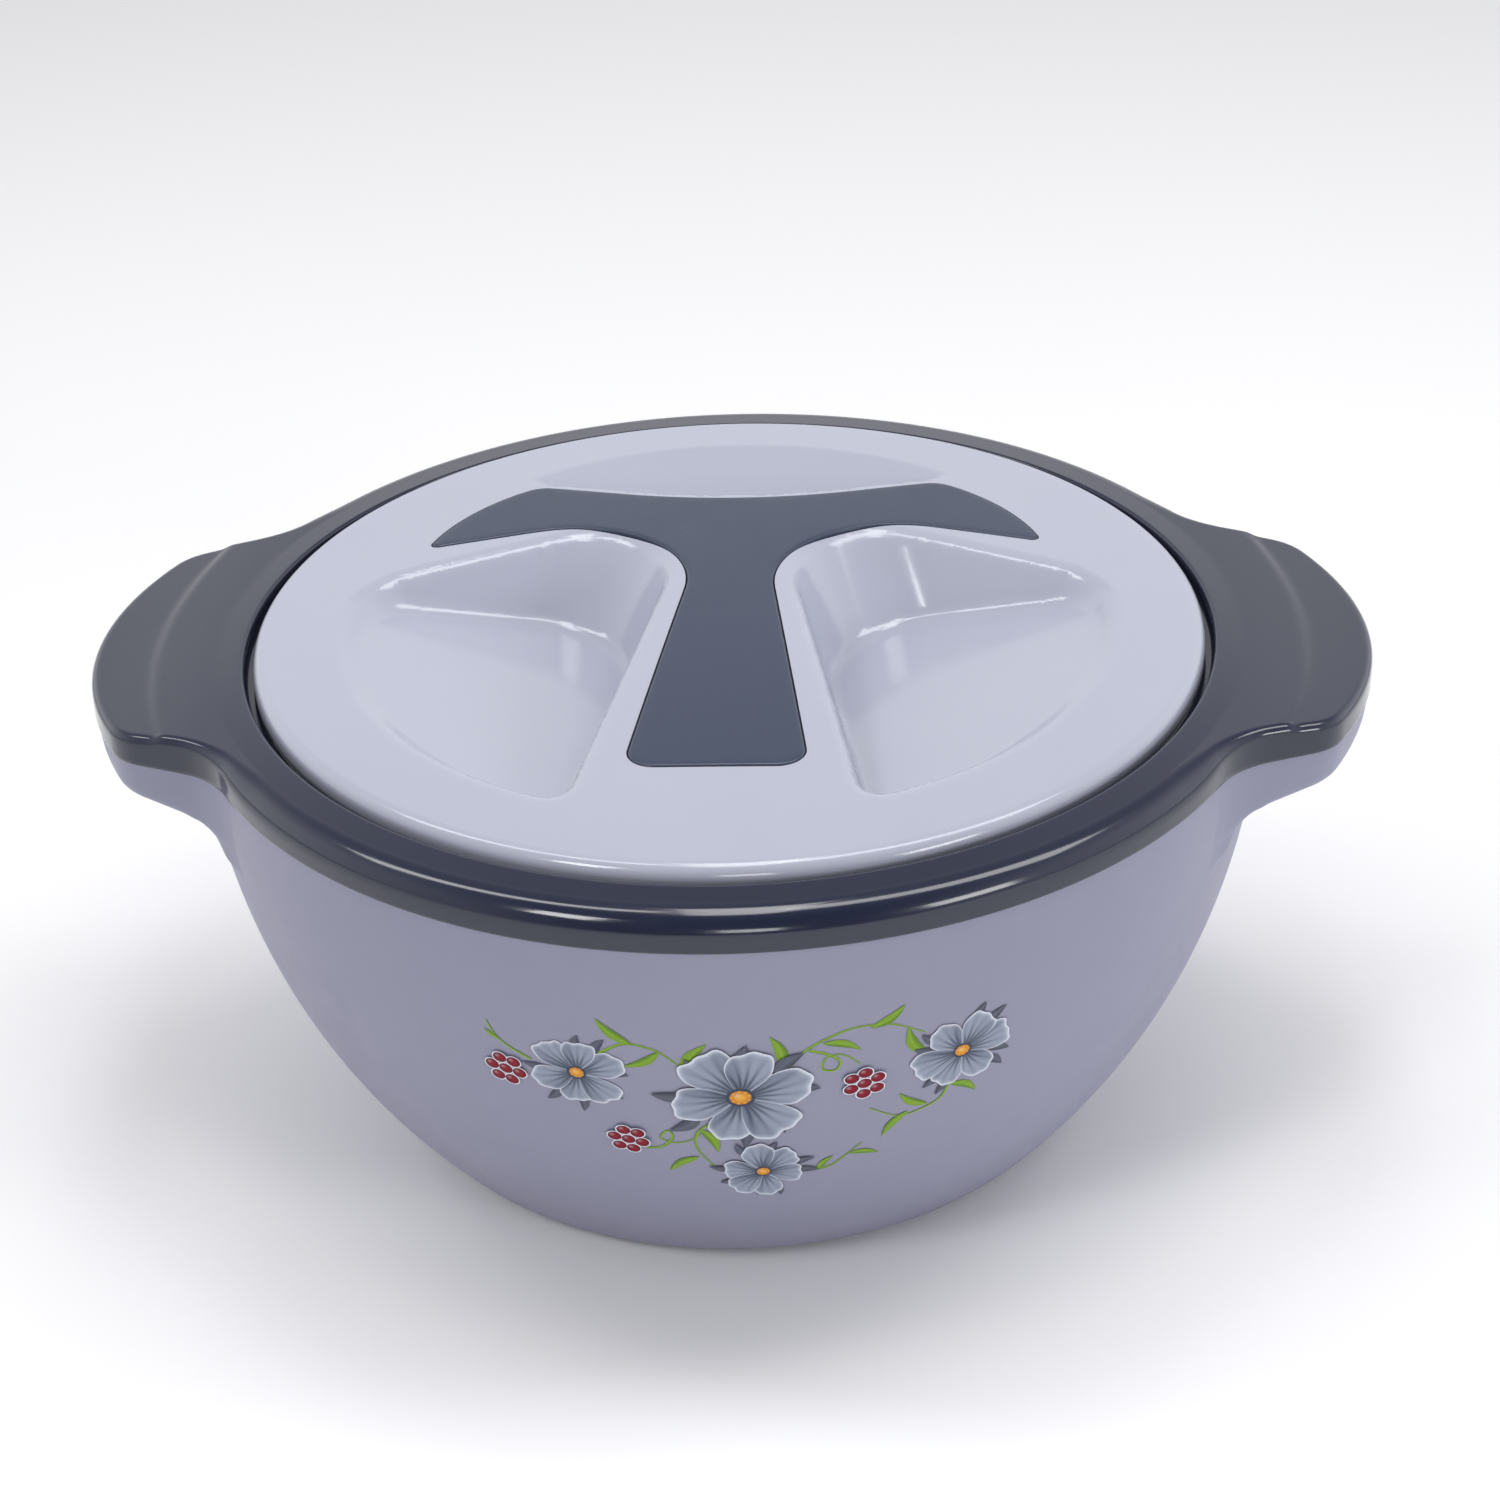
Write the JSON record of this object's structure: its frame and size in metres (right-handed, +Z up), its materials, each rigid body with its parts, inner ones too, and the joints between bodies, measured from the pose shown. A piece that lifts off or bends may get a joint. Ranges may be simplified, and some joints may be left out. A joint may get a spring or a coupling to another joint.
{
  "type": "insulated food server",
  "caption": "Round foam-insulated food server with a steel bowl, two side lugs, a dark rim collar and a twist-and-lift lid with a T-shaped grip between finger wells.",
  "frame": {"origin": "centre of the foot, on the surface that the server stands on", "axes": "+Z up, +X through the two side lugs, -Y towards the stem of the lid's T-shaped grip"},
  "size_m": [0.34, 0.285, 0.1418],
  "materials": {
    "light_shell": "satin light lilac grey moulded plastic with a printed flower spray",
    "light_lid": "glossy light lilac grey moulded plastic",
    "dark_collar": "glossy dark slate moulded plastic",
    "dark_inlay": "satin dark slate moulded plastic",
    "steel": "turned stainless steel",
    "lid_lining": "glossy moulded plastic",
    "seal": "pale silicone",
    "foam": "rigid cream foam",
    "plug": "moulded plug"
  },
  "bodies": {
    "base": {"outer_shell": "light_shell", "rim_collar": "dark_collar", "inner_bowl": "steel", "bowl_rim_seal": "seal", "body_foam": "foam", "foam_fill_plug": "plug"},
    "gasket": {"lid_gasket": "seal"},
    "lid": {"lid_cover": "light_lid", "lid_inlay": "dark_inlay", "lid_foam": "foam", "lid_liner": "lid_lining"}
  },
  "joints": [
    {"name": "lid_lift", "type": "slide", "parent": "base", "child": "gasket", "axis": [0, 0, 1], "range_m": [0, 0.045]},
    {"name": "lid_twist", "type": "hinge", "parent": "gasket", "child": "lid", "pos_m": [0, 0, 0.131], "axis": [0, 0, 1], "range_deg": [0, 30]}
  ]
}
